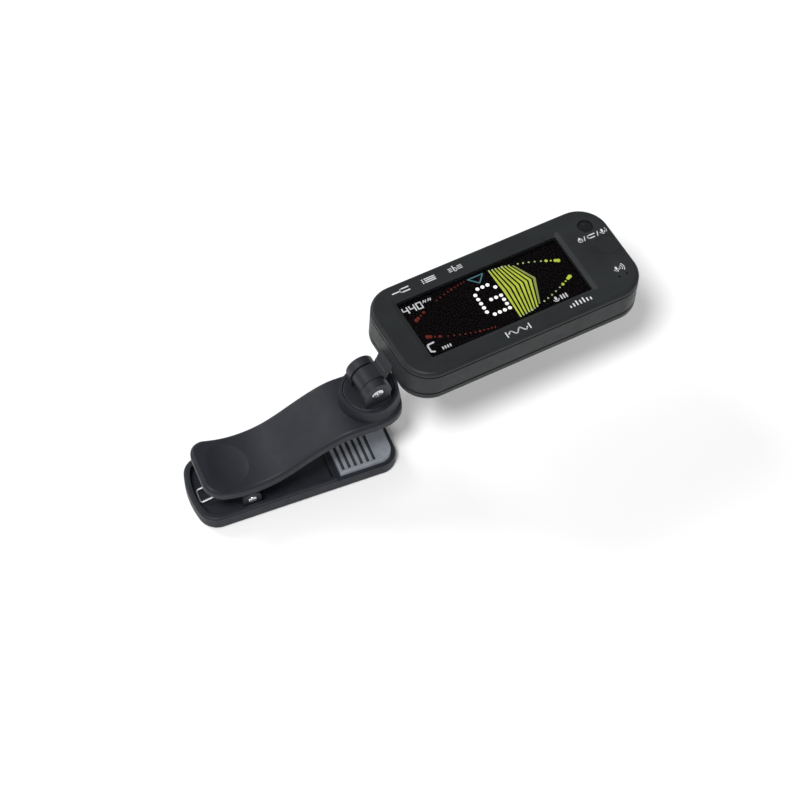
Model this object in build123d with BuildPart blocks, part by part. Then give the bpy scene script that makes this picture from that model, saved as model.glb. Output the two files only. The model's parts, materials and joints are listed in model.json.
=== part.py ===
"""Clip-on instrument tuner: a sprung clip, a swivelling and tilting hinge, and a display head.

Millimetres, +Z up. The origin is on the gripping face of the lower jaw pad, straight below the swivel axis.
+X runs along the clip from the thumb tabs to the jaw tips, and +Z from the lower jaw to the upper jaw.
"""

import os
from math import asin, atan2, cos, degrees, radians, sin

from build123d import *

# ---------------------------------------------------------------- driving dimensions

# Rest pose of the hinge: how far the head is swung round and how far its nose hangs down.
SWIVEL = 7.5
PITCH = 3.0

# Clip, lower lever: a flat tray with a rim.
LOWER_BACK = -52.9
LOWER_FRONT = 5.0
LOWER_HALF = 10.8
LOWER_ROUND = 0.9
RIM_ROUND = 0.7
LOWER_BASE = -5.7
DECK_TOP = -1.6
RIM_TOP = -1.0
RIM = 1.5
FLOOR = 1.2
THUMB_CORNER = 5.6
JAW_CORNER = 5.0
THUMB_BULGE = 2.2

# Clip, upper lever: a thin shell with an S-shaped side profile.
UPPER_BACK = -50.0
UPPER_TIP = 8.3
UPPER_HALF = 9.3
WAIST_HALF = 8.9
SKIN = 1.8
SKIRT = 3.0
SKIRT_WALL = 1.4
TOP_PROFILE = [(-55.0, 12.9), (-47.5, 9.6), (-41.0, 7.3), (-35.0, 6.9), (-28.5, 8.4), (-21.3, 12.2), (-14.0, 16.0)]
PLATEAU_START = -6.5
PLATEAU_TOP = 17.8
EDGE_ROUND = 1.1
LEVER_CORNER = 5.0
DISH_X = -42.8
DISH_DEPTH = 0.7
DISH_LONG_R = 12.0
DISH_WIDE_R = 28.0
DISH_REACH = 7.5
DISH_SAG = 0.25

# Clip pivot and spring.
PIN_X = -37.5
PIN_Z = 0.7
PIN_R = 1.25
LOWER_LUG_R = 2.6
LOWER_LUG_IN = 7.0
LOWER_LUG_OUT = 8.9
UPPER_LUG_R = 2.6
UPPER_LUG_TOP = 6.0
UPPER_LUG_IN = 5.1
UPPER_LUG_OUT = 6.7
RUNNING = 0.05
WIRE_R = 0.42
COIL_R = 1.95
COIL_TURNS = 2
COIL_PITCH = 0.92
COIL_INNER = 2.1
COIL_STEPS = 48
SPRING_FOOT_X = -50.2
SPRING_FOOT_R = 0.75
SPRING_HAND = (-46.0, 6.6)
PIN_PROUD = 0.35

# Jaw pads.
PAD_BACK = -12.2
PAD_INSET = 1.2
RIB_PITCH = 1.8
RIB_COUNT = 6
FIRST_GROOVE = -11.0
GROOVE_WIDTH = 0.8
GROOVE_DEPTH = 0.8
UPPER_PAD_FACE = 14.0
UPPER_PAD_LENGTH = 16.0
UPPER_PAD_WIDTH = 14.4
UPPER_PAD_X = -2.6
UPPER_PAD_CORNER = 4.0
UPPER_RIB_COUNT = 4
UPPER_RIB_SHIFT = -3.4
PAD_ROUND = 0.4

# Swivel: a disc turning in a raised ring on the upper lever.
DISC_R = 7.0
DISC_TOP = 21.6
RING_TOP_R = 8.0
RING_BASE_R = 8.6
POCKET_R = 7.15
POCKET_FLOOR = 19.4
SPIGOT_R = 2.4
WEB_UNDER = 18.2
WELL_R = 3.7
WASHER_T = 0.5
WASHER_R = 3.3
SWIVEL_SCREW_R = 0.9
SWIVEL_SCREW_HEAD_R = 1.8
SWIVEL_SCREW_HEAD_T = 1.0
SWIVEL_SCREW_LENGTH = 3.3

# Tilt hinge: two ears on the disc and a tongue between them.
HINGE_RISE = 4.2
EAR_R = 4.0
EAR_IN = 2.8
EAR_OUT = 5.4
BARREL_R = 3.7
BARREL_HALF = 2.4
SCREW_R = 1.0
SCREW_HEAD_R = 1.8
SCREW_HEAD_T = 0.9
SCREW_SINK = 1.0
NUT_R = 1.85
NUT_T = 0.9
HINGE_WASHER_R = 2.6
CROSS_WIDTH = 0.4
CROSS_DEEP = 0.5

# Head, in its own frame: x along the head from the hinge axis, z out of the display face.
HEAD_START = 5.0
HEAD_LENGTH = 72.8
HEAD_WIDTH = 31.5
HEAD_CORNER = 8.5
BACK_Z = 3.3
COVER_SPLIT = 6.0
BEZEL_SPLIT = 13.2
FACE_Z = 15.0
WALL = 1.6
COVER_FLOOR = 1.4
SEAM = 0.25
WINDOW_X = 13.1
WINDOW_LENGTH = 49.7
WINDOW_WIDTH = 19.9
WINDOW_BEVEL = 0.6
WINDOW_BEVEL_WIDE = 1.2
POWER_AT = (71.8, 9.0)
POWER_R = 2.1
MIC_AT = (72.4, -10.0)
MIC_HOLE_SPACING = 2.4
SIDE_BUTTONS = [16.5, 24.9, 33.3]
SIDE_BUTTON_Z = 10.2
PILLARS = [(8.6, 9.0), (8.6, -9.0), (67.4, 12.2), (67.4, -12.2)]
PILLAR_R = 1.8
PILLAR_TOP = 11.4
CASE_SCREW_R = 0.8
CASE_SCREW_HEAD_R = 1.45
CASE_SCREW_HEAD_T = 0.9
CASE_SCREW_LENGTH = 5.0
MARK_AT = (74.0, 0.6)
MARK_R = 3.4
MARK_LINE = 0.3
MARK_DEEP = 0.05
LCD_GAP = 0.1
LCD_T = 1.3
BACKLIGHT_T = 1.2
BOARD_Z = 8.4
BOARD_T = 1.0
BOARD_MID = 42.4
BOARD_LENGTH = 64.4
BOARD_WIDTH = 26.2
LENS_TOP = 14.3
TONGUE_HALF = 3.2
TONGUE_FOOT = 4.6
TONGUE_TOP = 7.4
TENON_HALF = 2.9
TENON_TOP = 7.2
PORT = (8.94, 3.2)
PORT_Z = 9.6
SIDE_CAP = (5.0, 2.4)
CAP_PROUD = 0.6
BUTTON_TRAVEL = 0.35
FLANGE_HIGH = 3.0
SWITCH_IN = 11.6
SWITCH_OUT = 13.1
POWER_STEM = 12.6

os.makedirs("parts", exist_ok=True)

# ---------------------------------------------------------------- working planes

turn_dir = Vector(cos(radians(SWIVEL)), sin(radians(SWIVEL)), 0)
HINGE_Z = DISC_TOP + HINGE_RISE
DISC = Plane(origin=(0, 0, DISC_TOP), x_dir=turn_dir, z_dir=(0, 0, 1))
YOKE_SIDE = Plane(origin=(0, 0, HINGE_Z), x_dir=turn_dir, z_dir=-DISC.y_dir)
HEAD = Plane(
    origin=(0, 0, HINGE_Z),
    x_dir=turn_dir * cos(radians(PITCH)) - Vector(0, 0, sin(radians(PITCH))),
    z_dir=turn_dir * sin(radians(PITCH)) + Vector(0, 0, cos(radians(PITCH))),
)
HEAD_SIDE = Plane(origin=HEAD.origin, x_dir=HEAD.x_dir, z_dir=-HEAD.y_dir)
HEAD_UP = Axis(HEAD.origin, HEAD.z_dir)
HEAD_ACROSS = Axis(HEAD.origin, HEAD.y_dir)
PORT_FACE = Plane(
    origin=HEAD.origin + HEAD.x_dir * (HEAD_START + HEAD_LENGTH),
    x_dir=HEAD.y_dir,
    z_dir=HEAD.x_dir,
)
HEAD_MID = HEAD_START + HEAD_LENGTH / 2
WINDOW_MID = WINDOW_X + WINDOW_LENGTH / 2


# ---------------------------------------------------------------- shared outlines


def lower_outline(inset):
    """Plan of the lower lever, drawn in from its edge by inset."""
    back, front, half = LOWER_BACK + inset, LOWER_FRONT - inset, LOWER_HALF - inset
    with BuildSketch(mode=Mode.PRIVATE) as plan:
        with BuildLine():
            Polyline((back + THUMB_BULGE, half), (front, half), (front, -half), (back + THUMB_BULGE, -half))
            ThreePointArc((back + THUMB_BULGE, -half), (back, 0), (back + THUMB_BULGE, half))
        make_face()
        fillet(plan.vertices().group_by(Axis.X)[0], THUMB_CORNER - inset)
        fillet(plan.vertices().group_by(Axis.X)[-1], JAW_CORNER - inset)
    return plan.sketch


def upper_outline(inset):
    """Plan of the upper lever: square thumb end with round corners, slight waist, round jaw end."""
    back, half, waist = UPPER_BACK + inset, UPPER_HALF - inset, WAIST_HALF - inset
    tip = UPPER_TIP - inset
    with BuildSketch(mode=Mode.PRIVATE) as plan:
        with BuildLine():
            Line((back, -half), (back, half))
            Spline((back, half), (-22.0, waist), (-2.0, half), tangents=((1, 0), (1, 0)))
            Spline((-2.0, half), (tip, 0), (-2.0, -half), tangents=((1, 0), (-1, 0)))
            Spline((-2.0, -half), (-22.0, -waist), (back, -half), tangents=((-1, 0), (-1, 0)))
        make_face()
        fillet(plan.vertices().group_by(Axis.X)[0], LEVER_CORNER - inset)
    return plan.sketch


def side_profile(drop, depth):
    """Side view of the upper lever between its top line lowered by drop and the same line depth further down."""
    high = [(x, z - drop) for x, z in TOP_PROFILE]
    low = [(x, z - drop - depth) for x, z in TOP_PROFILE]
    flat, end = PLATEAU_TOP - drop, UPPER_TIP + 5
    with BuildSketch(mode=Mode.PRIVATE) as side:
        with BuildLine():
            Spline(*high, (PLATEAU_START, flat), tangents=((1, -0.6), (1, 0)))
            Polyline((PLATEAU_START, flat), (end, flat), (end, flat - depth), (PLATEAU_START, flat - depth))
            Spline(*low, (PLATEAU_START, flat - depth), tangents=((1, -0.6), (1, 0)))
            Line(low[0], high[0])
        make_face()
    return side.sketch


def head_outline(inset):
    """Plan of the display head, in the head's frame."""
    with BuildSketch(mode=Mode.PRIVATE) as plan:
        with Locations((HEAD_MID, 0)):
            RectangleRounded(HEAD_LENGTH - 2 * inset, HEAD_WIDTH - 2 * inset, HEAD_CORNER - inset)
    return plan.sketch


def head_plan(height, inset):
    """The head's outline standing at a height above the hinge axis, ready to extrude."""
    with BuildSketch(HEAD.offset(height), mode=Mode.PRIVATE) as plan:
        add(head_outline(inset))
    return plan.sketch


def tangent_angle(point, hub, radius, side):
    """Angle on a circle about hub where a straight wire from point touches it, below (-1) or above (1) the hub."""
    across = hub - point
    reach = (across.X ** 2 + across.Z ** 2) ** 0.5
    bearing = degrees(atan2(across.Z, across.X))
    return bearing + side * degrees(asin(radius / reach)) + side * 90


# ---------------------------------------------------------------- clip: lower lever, pads, pin and spring

with BuildPart() as lower_lever:
    with BuildSketch(Plane.XY.offset(LOWER_BASE)):
        add(lower_outline(0))
    extrude(amount=RIM_TOP - LOWER_BASE)
    fillet(lower_lever.edges().group_by(Axis.Z)[0], LOWER_ROUND)
    fillet(lower_lever.edges().group_by(Axis.Z)[-1], RIM_ROUND)
    # Deck for the pad: the whole jaw end is cut down a little.
    with BuildSketch(Plane.XY.offset(DECK_TOP)):
        with Locations(((PAD_BACK - PAD_INSET + LOWER_FRONT + 1) / 2, 0)):
            Rectangle(LOWER_FRONT + 1 - PAD_BACK + PAD_INSET, 3 * LOWER_HALF)
    extrude(amount=5, mode=Mode.SUBTRACT)
    # Hollow tray behind the deck.
    with BuildSketch(Plane.XY.offset(LOWER_BASE + FLOOR)):
        add(lower_outline(RIM))
        with Locations((PAD_BACK - 2.0 + 20, 0)):
            Rectangle(40, 3 * LOWER_HALF, mode=Mode.SUBTRACT)
    extrude(amount=10, mode=Mode.SUBTRACT)
    # Two lugs carry the pin.
    for side in (-1, 1):
        with BuildSketch(Plane.XZ.offset(-side * LOWER_LUG_IN)):
            with Locations((PIN_X, PIN_Z)):
                Circle(LOWER_LUG_R)
            with Locations((PIN_X, (PIN_Z + LOWER_BASE + FLOOR / 2) / 2)):
                Rectangle(2 * LOWER_LUG_R, PIN_Z - LOWER_BASE - FLOOR / 2)
        extrude(amount=-side * (LOWER_LUG_OUT - LOWER_LUG_IN))
    with BuildSketch(Plane.XZ):
        with Locations((PIN_X, PIN_Z)):
            Circle(PIN_R)
    extrude(amount=LOWER_LUG_OUT + 1, both=True, mode=Mode.SUBTRACT)
lower_lever.part.label = "lower_lever"

with BuildPart() as lower_jaw_pad:
    with BuildSketch(Plane.XY.offset(DECK_TOP)):
        add(lower_outline(PAD_INSET))
        with Locations((PAD_BACK - 40, 0)):
            Rectangle(80, 3 * LOWER_HALF, mode=Mode.SUBTRACT)
    extrude(amount=-DECK_TOP)
    fillet(lower_jaw_pad.edges().group_by(Axis.Z)[-1], PAD_ROUND)
    with BuildSketch(Plane.XY):
        with Locations((FIRST_GROOVE + RIB_PITCH * (RIB_COUNT - 1) / 2, 0)):
            with GridLocations(RIB_PITCH, 0, RIB_COUNT, 1):
                Rectangle(GROOVE_WIDTH, 2 * LOWER_HALF - 4.0)
    extrude(amount=-GROOVE_DEPTH, mode=Mode.SUBTRACT)
lower_jaw_pad.part.label = "lower_jaw_pad"

with BuildPart() as pivot_pin:
    with BuildSketch(Plane.XZ):
        with Locations((PIN_X, PIN_Z)):
            Circle(PIN_R)
    extrude(amount=LOWER_LUG_OUT + PIN_PROUD, both=True)
    fillet(pivot_pin.edges().filter_by(GeomType.CIRCLE), 0.3)
pivot_pin.part.label = "pivot_pin"

# One half of the spring wire: crossbar, lower leg, coil round the pin, upper leg. The other half mirrors it.
floor_z = LOWER_BASE + FLOOR + WIRE_R
foot = Vector(SPRING_FOOT_X, COIL_INNER, floor_z)
hand = Vector(SPRING_HAND[0], 0, SPRING_HAND[1])
hub = Vector(PIN_X, 0, PIN_Z)
coil_start = tangent_angle(foot, hub, COIL_R, -1)
coil_end = tangent_angle(hand, hub, COIL_R, 1) + 360 * COIL_TURNS
coil = []
for i in range(COIL_STEPS + 1):
    turned = coil_start + (coil_end - coil_start) * i / COIL_STEPS
    coil_y = COIL_INNER + COIL_PITCH * (turned - coil_start) / 360
    coil.append((PIN_X + COIL_R * cos(radians(turned)), coil_y, PIN_Z + COIL_R * sin(radians(turned))))
hand.Y = coil[-1][1]

with BuildPart() as torsion_spring:
    with BuildLine() as lower_leg:
        FilletPolyline((SPRING_FOOT_X, 0, floor_z), foot, coil[0], radius=SPRING_FOOT_R)
    with BuildSketch(lower_leg.line ^ 0):
        Circle(WIRE_R)
    sweep(path=lower_leg.wire())
    with BuildLine() as winding:
        Spline(*coil)
    with BuildSketch(winding.line ^ 0):
        Circle(WIRE_R)
    sweep(path=winding.wire())
    with BuildLine() as upper_leg:
        Line(coil[-1], hand)
    with BuildSketch(upper_leg.line ^ 0):
        Circle(WIRE_R)
    sweep(path=upper_leg.wire())
    mirror(about=Plane.XZ)
torsion_spring.part.label = "torsion_spring"

# ---------------------------------------------------------------- clip: upper lever and its pad

# Space under the lever's skin, inside its skirt.
with BuildPart() as lever_hollow:
    with BuildSketch(Plane.XZ):
        add(side_profile(SKIN, SKIRT))
    extrude(amount=UPPER_HALF + 1, both=True)
    with BuildSketch(Plane.XY.offset(-10)):
        add(upper_outline(SKIRT_WALL))
    extrude(amount=50, mode=Mode.INTERSECT)

# Shallow dish for the thumb: a curved blade turned about an axis above the lever, square to its slope.
slope_x, slope_z = TOP_PROFILE[2][0] - TOP_PROFILE[1][0], TOP_PROFILE[2][1] - TOP_PROFILE[1][1]
dish_z = TOP_PROFILE[1][1] + slope_z / slope_x * (DISH_X - TOP_PROFILE[1][0]) - DISH_SAG
DISH = Plane(origin=(DISH_X, 0, dish_z), x_dir=(slope_x, 0, slope_z), z_dir=(0, -1, 0))
dish_rise = DISH_LONG_R - (DISH_LONG_R ** 2 - DISH_REACH ** 2) ** 0.5 - DISH_DEPTH
with BuildPart() as thumb_dish:
    with BuildSketch(DISH):
        with BuildLine():
            ThreePointArc((-DISH_REACH, dish_rise), (0, -DISH_DEPTH), (DISH_REACH, dish_rise))
            Line((DISH_REACH, dish_rise), (-DISH_REACH, dish_rise))
        make_face()
    revolve(axis=Axis(DISH.origin + DISH.y_dir * (DISH_WIDE_R - DISH_DEPTH), DISH.x_dir))

with BuildPart() as upper_lever:
    with BuildSketch(Plane.XZ):
        add(side_profile(0, SKIRT))
    extrude(amount=UPPER_HALF + 1, both=True)
    with BuildSketch(Plane.XY.offset(-10)):
        add(upper_outline(0))
    extrude(amount=50, mode=Mode.INTERSECT)
    upward = upper_lever.faces().filter_by(lambda face: face.normal_at().Z > 0.3)
    around = [edge for face in upward for edge in face.edges()]
    fillet([edge for edge in around if sum(edge.is_same(other) for other in around) == 1], EDGE_ROUND)
    add(lever_hollow.part, mode=Mode.SUBTRACT)
    add(thumb_dish.part, mode=Mode.SUBTRACT)
    # Raised ring that the disc turns in.
    with BuildSketch(Plane.XY.offset(PLATEAU_TOP - SKIN / 2)):
        Circle(RING_BASE_R)
    with BuildSketch(Plane.XY.offset(DISC_TOP)):
        Circle(RING_TOP_R)
    loft()
    with BuildSketch(Plane.XY.offset(POCKET_FLOOR)):
        Circle(POCKET_R)
    extrude(amount=10, mode=Mode.SUBTRACT)
    with BuildSketch(Plane.XY.offset(PLATEAU_TOP - SKIN)):
        Circle(WELL_R)
    extrude(amount=WEB_UNDER - PLATEAU_TOP + SKIN, mode=Mode.SUBTRACT)
    with BuildSketch(Plane.XY.offset(WEB_UNDER)):
        Circle(SPIGOT_R)
    extrude(amount=5, mode=Mode.SUBTRACT)
    # Two lugs reach down to the pin.
    for side in (-1, 1):
        with BuildSketch(Plane.XZ.offset(-side * UPPER_LUG_IN)):
            with Locations((PIN_X, PIN_Z)):
                Circle(UPPER_LUG_R)
            with Locations((PIN_X, (PIN_Z + UPPER_LUG_TOP) / 2)):
                Rectangle(2 * UPPER_LUG_R, UPPER_LUG_TOP - PIN_Z)
        extrude(amount=-side * (UPPER_LUG_OUT - UPPER_LUG_IN))
    with BuildSketch(Plane.XZ):
        with Locations((PIN_X, PIN_Z)):
            Circle(PIN_R + RUNNING)
    extrude(amount=UPPER_LUG_OUT + 1, both=True, mode=Mode.SUBTRACT)
upper_lever.part.label = "upper_lever"

with BuildPart() as upper_jaw_pad:
    with BuildSketch(Plane.XY.offset(PLATEAU_TOP - SKIN)):
        with Locations((UPPER_PAD_X, 0)):
            RectangleRounded(UPPER_PAD_LENGTH, UPPER_PAD_WIDTH, UPPER_PAD_CORNER)
    extrude(amount=UPPER_PAD_FACE - PLATEAU_TOP + SKIN)
    fillet(upper_jaw_pad.edges().group_by(Axis.Z)[0], PAD_ROUND)
    with BuildSketch(Plane.XY.offset(UPPER_PAD_FACE)):
        with Locations((UPPER_PAD_X + UPPER_RIB_SHIFT, 0)):
            with GridLocations(RIB_PITCH, 0, UPPER_RIB_COUNT, 1):
                Rectangle(GROOVE_WIDTH, UPPER_PAD_WIDTH - 3.0)
    extrude(amount=GROOVE_DEPTH, mode=Mode.SUBTRACT)
    add(upper_lever.part, mode=Mode.SUBTRACT)
upper_jaw_pad.part.label = "upper_jaw_pad"

# ---------------------------------------------------------------- swivel

with BuildPart() as turntable:
    with BuildSketch(Plane.XY.offset(POCKET_FLOOR + 0.05)):
        Circle(DISC_R)
    extrude(amount=DISC_TOP - POCKET_FLOOR - 0.05)
    fillet(turntable.edges().group_by(Axis.Z)[-1], 0.3)
    # Two round-topped ears.
    for side in (-1, 1):
        with BuildSketch(YOKE_SIDE.offset(-side * EAR_IN)):
            Circle(EAR_R)
            with Locations((0, -HINGE_RISE / 2)):
                Rectangle(2 * EAR_R - 0.4, HINGE_RISE + 0.4)
        extrude(amount=-side * (EAR_OUT - EAR_IN))
    with BuildSketch(Plane.XY.offset(WEB_UNDER)):
        Circle(SPIGOT_R - RUNNING)
    extrude(amount=POCKET_FLOOR + 0.05 - WEB_UNDER)
    with BuildSketch(YOKE_SIDE):
        Circle(SCREW_R)
    extrude(amount=EAR_OUT + 1, both=True, mode=Mode.SUBTRACT)
    with BuildSketch(YOKE_SIDE.offset(EAR_OUT - SCREW_SINK)):
        Circle(SCREW_HEAD_R + 0.1)
    extrude(amount=3, mode=Mode.SUBTRACT)
    with BuildSketch(YOKE_SIDE.offset(-EAR_OUT + SCREW_SINK)):
        RegularPolygon(NUT_R + 0.05, 6)
    extrude(amount=-3, mode=Mode.SUBTRACT)
    # Blind hole for the swivel screw.
    with BuildSketch(Plane.XY.offset(WEB_UNDER)):
        Circle(SWIVEL_SCREW_R)
    extrude(amount=SWIVEL_SCREW_LENGTH - 0.4, mode=Mode.SUBTRACT)
turntable.part.label = "turntable"

with BuildPart() as swivel_washer:
    with BuildSketch(Plane.XY.offset(WEB_UNDER - 0.03)):
        Circle(WASHER_R)
        Circle(SWIVEL_SCREW_R, mode=Mode.SUBTRACT)
    extrude(amount=-WASHER_T)
    with BuildSketch(Plane.XY.offset(WEB_UNDER - 0.03)):
        Circle(SPIGOT_R - 0.3)
        Circle(SWIVEL_SCREW_R, mode=Mode.SUBTRACT)
    extrude(amount=0.03)
swivel_washer.part.label = "swivel_washer"

with BuildPart() as swivel_screw:
    head_top = WEB_UNDER - 0.03 - WASHER_T
    with BuildSketch(Plane.XY.offset(head_top)):
        Circle(SWIVEL_SCREW_HEAD_R)
    extrude(amount=-SWIVEL_SCREW_HEAD_T)
    chamfer(swivel_screw.edges().group_by(Axis.Z)[0], 0.25)
    with BuildSketch(Plane.XY.offset(head_top)):
        Circle(SWIVEL_SCREW_R)
    extrude(amount=SWIVEL_SCREW_LENGTH)
    with BuildSketch(Plane.XY.offset(head_top - SWIVEL_SCREW_HEAD_T)):
        Rectangle(2 * SWIVEL_SCREW_R, CROSS_WIDTH)
        Rectangle(CROSS_WIDTH, 2 * SWIVEL_SCREW_R)
    extrude(amount=CROSS_DEEP, mode=Mode.SUBTRACT)
swivel_screw.part.label = "swivel_screw"

# ---------------------------------------------------------------- tilt hinge

with BuildPart() as hinge_screw:
    with BuildSketch(YOKE_SIDE.offset(EAR_OUT - SCREW_SINK)):
        Circle(SCREW_HEAD_R)
    extrude(amount=SCREW_HEAD_T)
    fillet(hinge_screw.edges().group_by(HEAD_ACROSS)[0], 0.3)
    with BuildSketch(YOKE_SIDE.offset(EAR_OUT - SCREW_SINK)):
        Circle(SCREW_R)
    extrude(amount=-2 * EAR_OUT + SCREW_SINK + 0.1)
    with BuildSketch(YOKE_SIDE.offset(EAR_OUT - SCREW_SINK + SCREW_HEAD_T)):
        Rectangle(2.2 * SCREW_R, CROSS_WIDTH)
        Rectangle(CROSS_WIDTH, 2.2 * SCREW_R)
    extrude(amount=-CROSS_DEEP, mode=Mode.SUBTRACT)
hinge_screw.part.label = "hinge_screw"

with BuildPart() as hinge_nut:
    with BuildSketch(YOKE_SIDE.offset(-EAR_OUT + SCREW_SINK)):
        RegularPolygon(NUT_R, 6)
        Circle(SCREW_R, mode=Mode.SUBTRACT)
    extrude(amount=-NUT_T)
hinge_nut.part.label = "hinge_nut"

with BuildPart() as hinge_washers:
    for side in (-1, 1):
        with BuildSketch(YOKE_SIDE.offset(-side * EAR_IN)):
            Circle(HINGE_WASHER_R)
            Circle(SCREW_R, mode=Mode.SUBTRACT)
        extrude(amount=side * (EAR_IN - BARREL_HALF - RUNNING))
hinge_washers.part.label = "hinge_washers"

# Shoulders that widen from the barrel toward the head, above the ears.
with BuildPart() as shoulders:
    with BuildSketch(HEAD.offset(TONGUE_FOOT)):
        with BuildLine():
            Polyline(
                (3.0, BARREL_HALF), (HEAD_START, TONGUE_HALF), (HEAD_START, -TONGUE_HALF), (3.0, -BARREL_HALF),
                close=True,
            )
        make_face()
    extrude(amount=TONGUE_TOP - TONGUE_FOOT)
    with BuildSketch(HEAD_SIDE):
        with BuildLine():
            Polyline(
                (2.6, TONGUE_FOOT), (3.6, 5.0), (HEAD_START, TONGUE_TOP), (HEAD_START, TONGUE_FOOT), close=True,
            )
        make_face()
    extrude(amount=TONGUE_HALF + 1, both=True, mode=Mode.INTERSECT)

with BuildPart() as hinge_tongue:
    # Web from the barrel up to the head's end wall.
    with BuildSketch(HEAD_SIDE):
        with BuildLine():
            Polyline(
                (0, BARREL_R), (2.4, BARREL_R), (3.8, 5.0), (HEAD_START, TONGUE_TOP),
                (HEAD_START, TONGUE_FOOT - 0.6), (3.4, 0), (0, 0), close=True,
            )
        make_face()
        Circle(BARREL_R)
    extrude(amount=BARREL_HALF, both=True)
    add(shoulders.part)
    # Tenon through the end wall, with a flange locked behind it.
    with BuildSketch(HEAD.offset(BACK_Z + COVER_FLOOR)):
        with Locations((HEAD_START + WALL / 2, 0)):
            Rectangle(WALL, 2 * TENON_HALF)
        with Locations((HEAD_START + WALL + 1.2, 0)):
            Rectangle(2.4, 2 * TENON_HALF + 1.2)
    extrude(amount=TENON_TOP - BACK_Z - COVER_FLOOR)
    with BuildSketch(HEAD_SIDE):
        Circle(SCREW_R + RUNNING)
    extrude(amount=10, both=True, mode=Mode.SUBTRACT)
hinge_tongue.part.label = "hinge_tongue"

# ---------------------------------------------------------------- head: case


def cut_tenon_slot():
    """Cuts the tongue's slot through the left end wall of the case piece being built."""
    with BuildSketch(HEAD.offset(BACK_Z + COVER_FLOOR), mode=Mode.PRIVATE) as slot:
        with Locations((HEAD_START + WALL / 2, 0)):
            Rectangle(WALL + 0.2, 2 * TENON_HALF)
    extrude(slot.sketch, amount=TENON_TOP - BACK_Z - COVER_FLOOR, mode=Mode.SUBTRACT)


def cut_seam(low, high):
    """Sets the case piece's outer wall back by the seam width between two heights."""
    extrude(head_plan(low, -2) - head_plan(low, SEAM), amount=high - low, mode=Mode.SUBTRACT)


with BuildPart() as back_cover:
    extrude(head_plan(BACK_Z, 0), amount=COVER_SPLIT - BACK_Z)
    fillet(back_cover.edges().group_by(HEAD_UP)[0], 1.2)
    extrude(head_plan(BACK_Z + COVER_FLOOR, WALL), amount=5, mode=Mode.SUBTRACT)
    cut_seam(COVER_SPLIT - 0.3, COVER_SPLIT)
    cut_tenon_slot()
    # Posts that meet the frame's pillars, drilled and counterbored for the case screws.
    with BuildSketch(HEAD.offset(BACK_Z + COVER_FLOOR)):
        with Locations(*PILLARS):
            Circle(PILLAR_R)
    extrude(amount=COVER_SPLIT - BACK_Z - COVER_FLOOR)
    with BuildSketch(HEAD.offset(BACK_Z)):
        with Locations(*PILLARS):
            Circle(CASE_SCREW_R)
    extrude(amount=5, mode=Mode.SUBTRACT)
    with BuildSketch(HEAD.offset(BACK_Z)):
        with Locations(*PILLARS):
            Circle(CASE_SCREW_HEAD_R + 0.05)
    extrude(amount=CASE_SCREW_HEAD_T + 0.1, mode=Mode.SUBTRACT)
back_cover.part.label = "back_cover"

with BuildPart() as middle_frame:
    extrude(head_plan(COVER_SPLIT, 0), amount=BEZEL_SPLIT - COVER_SPLIT)
    extrude(head_plan(COVER_SPLIT, WALL), amount=20, mode=Mode.SUBTRACT)
    cut_seam(COVER_SPLIT, COVER_SPLIT + 0.3)
    cut_seam(BEZEL_SPLIT - 0.3, BEZEL_SPLIT)
    cut_tenon_slot()
    with BuildSketch(HEAD.offset(COVER_SPLIT)):
        with Locations(*PILLARS):
            Circle(PILLAR_R)
        with Locations(*[(x, y + (1.6 if y > 0 else -1.6)) for x, y in PILLARS[2:]]):
            Rectangle(1.2, 2.4)
        with Locations(*[(x - 1.4, y) for x, y in PILLARS[:2]]):
            Rectangle(2.4, 1.2)
    extrude(amount=PILLAR_TOP - COVER_SPLIT)
    with BuildSketch(HEAD.offset(COVER_SPLIT)):
        with Locations(*PILLARS):
            Circle(CASE_SCREW_R)
    extrude(amount=BACK_Z + CASE_SCREW_LENGTH + 1.4 - COVER_SPLIT, mode=Mode.SUBTRACT)
    # Three button slots in the long wall, and the charging port in the end wall.
    with BuildSketch(HEAD_SIDE.offset(-HEAD_WIDTH / 2 - 1)):
        with Locations(*[(x, SIDE_BUTTON_Z) for x in SIDE_BUTTONS]):
            RectangleRounded(SIDE_CAP[0] + 0.16, SIDE_CAP[1] + 0.16, 0.6)
    extrude(amount=WALL + 2, mode=Mode.SUBTRACT)
    with BuildSketch(PORT_FACE):
        with Locations((0, PORT_Z)):
            RectangleRounded(PORT[0] + 0.3, PORT[1] + 0.3, (PORT[1] + 0.3) / 2 - 0.01)
    extrude(amount=-(WALL + 1), mode=Mode.SUBTRACT)
middle_frame.part.label = "middle_frame"

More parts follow.
